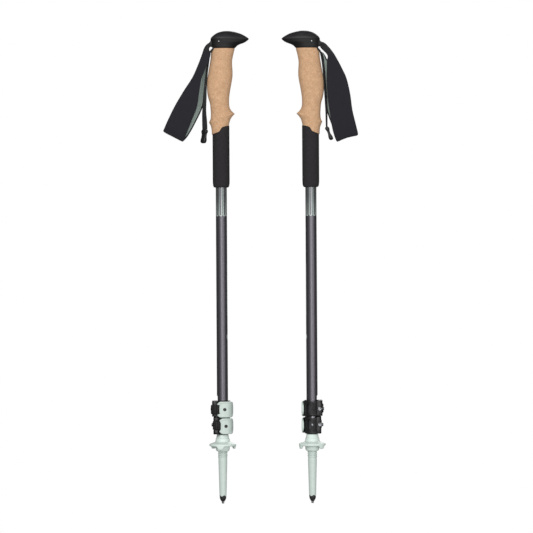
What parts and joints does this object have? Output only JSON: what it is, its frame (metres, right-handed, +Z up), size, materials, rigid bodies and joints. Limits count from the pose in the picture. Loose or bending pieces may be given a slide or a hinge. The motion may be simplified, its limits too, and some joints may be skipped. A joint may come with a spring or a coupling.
{
  "type": "trekking pole pair",
  "caption": "Telescopic walking poles pushed together side by side, with cork and foam grips, padded wrist loops, lever clamps, small baskets and hard tips.",
  "frame": {"origin": "centre of the flat end of the left pole's carbide tip", "axes": "+Z up along the left pole's shaft, +X from the left pole towards the right pole, +Y away from the viewer, so the left pole's grip points along +X and the right pole's along -X"},
  "size_m": [0.2796, 0.0388, 0.6804],
  "materials": {
    "cork": "matt granulated cork",
    "foam": "matt fine-celled foam",
    "head_plastic": "soft-touch moulding",
    "clamp_plastic": "satin moulding",
    "core_plastic": "plain moulding",
    "shaft": "dark grey anodised",
    "mint_lever": "satin pale green moulding",
    "mint_tip": "satin pale green moulding",
    "nose_rubber": "matt moulding",
    "carbide": "ground carbide",
    "steel": "bright steel",
    "strap_black": "woven webbing",
    "lining_mint": "brushed lining"
  },
  "bodies": {
    "left_upper": {"left_head_cap": "head_plastic", "left_head_base": "head_plastic", "left_strap_pin": "steel", "left_strap_anchor": "strap_black", "left_cork_grip": "cork", "left_grip_core": "core_plastic", "left_foam_grip": "foam", "left_upper_shaft": "shaft", "left_upper_clamp_body": "clamp_plastic", "left_upper_lever_pin": "steel"},
    "left_strap": {"left_strap_band": "strap_black", "left_strap_lining": "lining_mint", "left_strap_tail": "strap_black", "left_strap_tab": "clamp_plastic"},
    "left_wedge": {"left_strap_wedge": "clamp_plastic"},
    "left_upper_lever": {"left_upper_lever": "mint_lever"},
    "left_upper_screw": {"left_upper_clamp_screw": "steel"},
    "left_middle": {"left_middle_shaft": "shaft", "left_middle_plug": "core_plastic", "left_lower_clamp_body": "clamp_plastic", "left_lower_lever_pin": "steel"},
    "left_lower_lever": {"left_lower_lever": "mint_lever"},
    "left_lower_screw": {"left_lower_clamp_screw": "steel"},
    "left_lower": {"left_lower_shaft": "shaft", "left_lower_plug": "core_plastic", "left_ferrule": "mint_tip", "left_tip_nose": "nose_rubber", "left_carbide_tip": "carbide"},
    "left_basket": {"left_basket": "mint_tip"},
    "right_upper": {"right_head_cap": "head_plastic", "right_head_base": "head_plastic", "right_strap_pin": "steel", "right_strap_anchor": "strap_black", "right_cork_grip": "cork", "right_grip_core": "core_plastic", "right_foam_grip": "foam", "right_upper_shaft": "shaft", "right_upper_clamp_body": "clamp_plastic", "right_upper_lever_pin": "steel"},
    "right_strap": {"right_strap_band": "strap_black", "right_strap_lining": "lining_mint", "right_strap_tail": "strap_black", "right_strap_tab": "clamp_plastic"},
    "right_wedge": {"right_strap_wedge": "clamp_plastic"},
    "right_upper_lever": {"right_upper_lever": "mint_lever"},
    "right_upper_screw": {"right_upper_clamp_screw": "steel"},
    "right_middle": {"right_middle_shaft": "shaft", "right_middle_plug": "core_plastic", "right_lower_clamp_body": "clamp_plastic", "right_lower_lever_pin": "steel"},
    "right_lower_lever": {"right_lower_lever": "mint_lever"},
    "right_lower_screw": {"right_lower_clamp_screw": "steel"},
    "right_lower": {"right_lower_shaft": "shaft", "right_lower_plug": "core_plastic", "right_ferrule": "mint_tip", "right_tip_nose": "nose_rubber", "right_carbide_tip": "carbide"},
    "right_basket": {"right_basket": "mint_tip"}
  },
  "joints": [
    {"name": "left_middle_slide", "type": "slide", "parent": "left_upper", "child": "left_middle", "axis": [0, 0, -1], "range_m": [0, 0.36]},
    {"name": "left_lower_slide", "type": "slide", "parent": "left_middle", "child": "left_lower", "axis": [0, 0, -1], "range_m": [0, 0.36]},
    {"name": "left_upper_lever_open", "type": "hinge", "parent": "left_upper", "child": "left_upper_lever", "pos_m": [-0.0108, -0.0115, 0.1361], "axis": [0, 0, -1], "range_deg": [0, 100]},
    {"name": "left_lower_lever_open", "type": "hinge", "parent": "left_middle", "child": "left_lower_lever", "pos_m": [-0.0108, -0.0115, 0.1134], "axis": [0, 0, -1], "range_deg": [0, 100]},
    {"name": "left_upper_screw_turn", "type": "hinge", "parent": "left_upper", "child": "left_upper_screw", "pos_m": [-0.0108, 0, 0.1361], "axis": [0, 1, 0], "range_deg": [-360, 360]},
    {"name": "left_lower_screw_turn", "type": "hinge", "parent": "left_middle", "child": "left_lower_screw", "pos_m": [-0.0108, 0, 0.1134], "axis": [0, 1, 0], "range_deg": [-360, 360]},
    {"name": "left_strap_swing", "type": "hinge", "parent": "left_upper", "child": "left_strap", "pos_m": [-0.017, 0, 0.6649], "axis": [0, 1, 0], "range_deg": [0, 90]},
    {"name": "left_wedge_slide", "type": "slide", "parent": "left_upper", "child": "left_wedge", "axis": [-0.9781, 0, -0.208], "range_m": [0, 0.0015]},
    {"name": "left_basket_turn", "type": "hinge", "parent": "left_lower", "child": "left_basket", "pos_m": [0, 0, 0.085], "axis": [0, 0, 1], "range_deg": [0, 360]},
    {"name": "right_pole_lift", "type": "slide", "parent": "left_upper", "child": "right_upper", "axis": [0, 0, 1], "range_m": [0, 0.7]},
    {"name": "right_middle_slide", "type": "slide", "parent": "right_upper", "child": "right_middle", "axis": [0, 0, -1], "range_m": [0, 0.36]},
    {"name": "right_lower_slide", "type": "slide", "parent": "right_middle", "child": "right_lower", "axis": [0, 0, -1], "range_m": [0, 0.36]},
    {"name": "right_upper_lever_open", "type": "hinge", "parent": "right_upper", "child": "right_upper_lever", "pos_m": [0.1398, 0.0115, 0.1361], "axis": [0, 0, -1], "range_deg": [0, 100]},
    {"name": "right_lower_lever_open", "type": "hinge", "parent": "right_middle", "child": "right_lower_lever", "pos_m": [0.1398, 0.0115, 0.1134], "axis": [0, 0, -1], "range_deg": [0, 100]},
    {"name": "right_upper_screw_turn", "type": "hinge", "parent": "right_upper", "child": "right_upper_screw", "pos_m": [0.1398, 0, 0.1361], "axis": [0, -1, 0], "range_deg": [-360, 360]},
    {"name": "right_lower_screw_turn", "type": "hinge", "parent": "right_middle", "child": "right_lower_screw", "pos_m": [0.1398, 0, 0.1134], "axis": [0, -1, 0], "range_deg": [-360, 360]},
    {"name": "right_strap_swing", "type": "hinge", "parent": "right_upper", "child": "right_strap", "pos_m": [0.146, 0, 0.6649], "axis": [0, -1, 0], "range_deg": [0, 90]},
    {"name": "right_wedge_slide", "type": "slide", "parent": "right_upper", "child": "right_wedge", "axis": [0.9781, 0, -0.208], "range_m": [0, 0.0015]},
    {"name": "right_basket_turn", "type": "hinge", "parent": "right_lower", "child": "right_basket", "pos_m": [0.129, 0, 0.085], "axis": [0, 0, 1], "range_deg": [0, 360]}
  ]
}
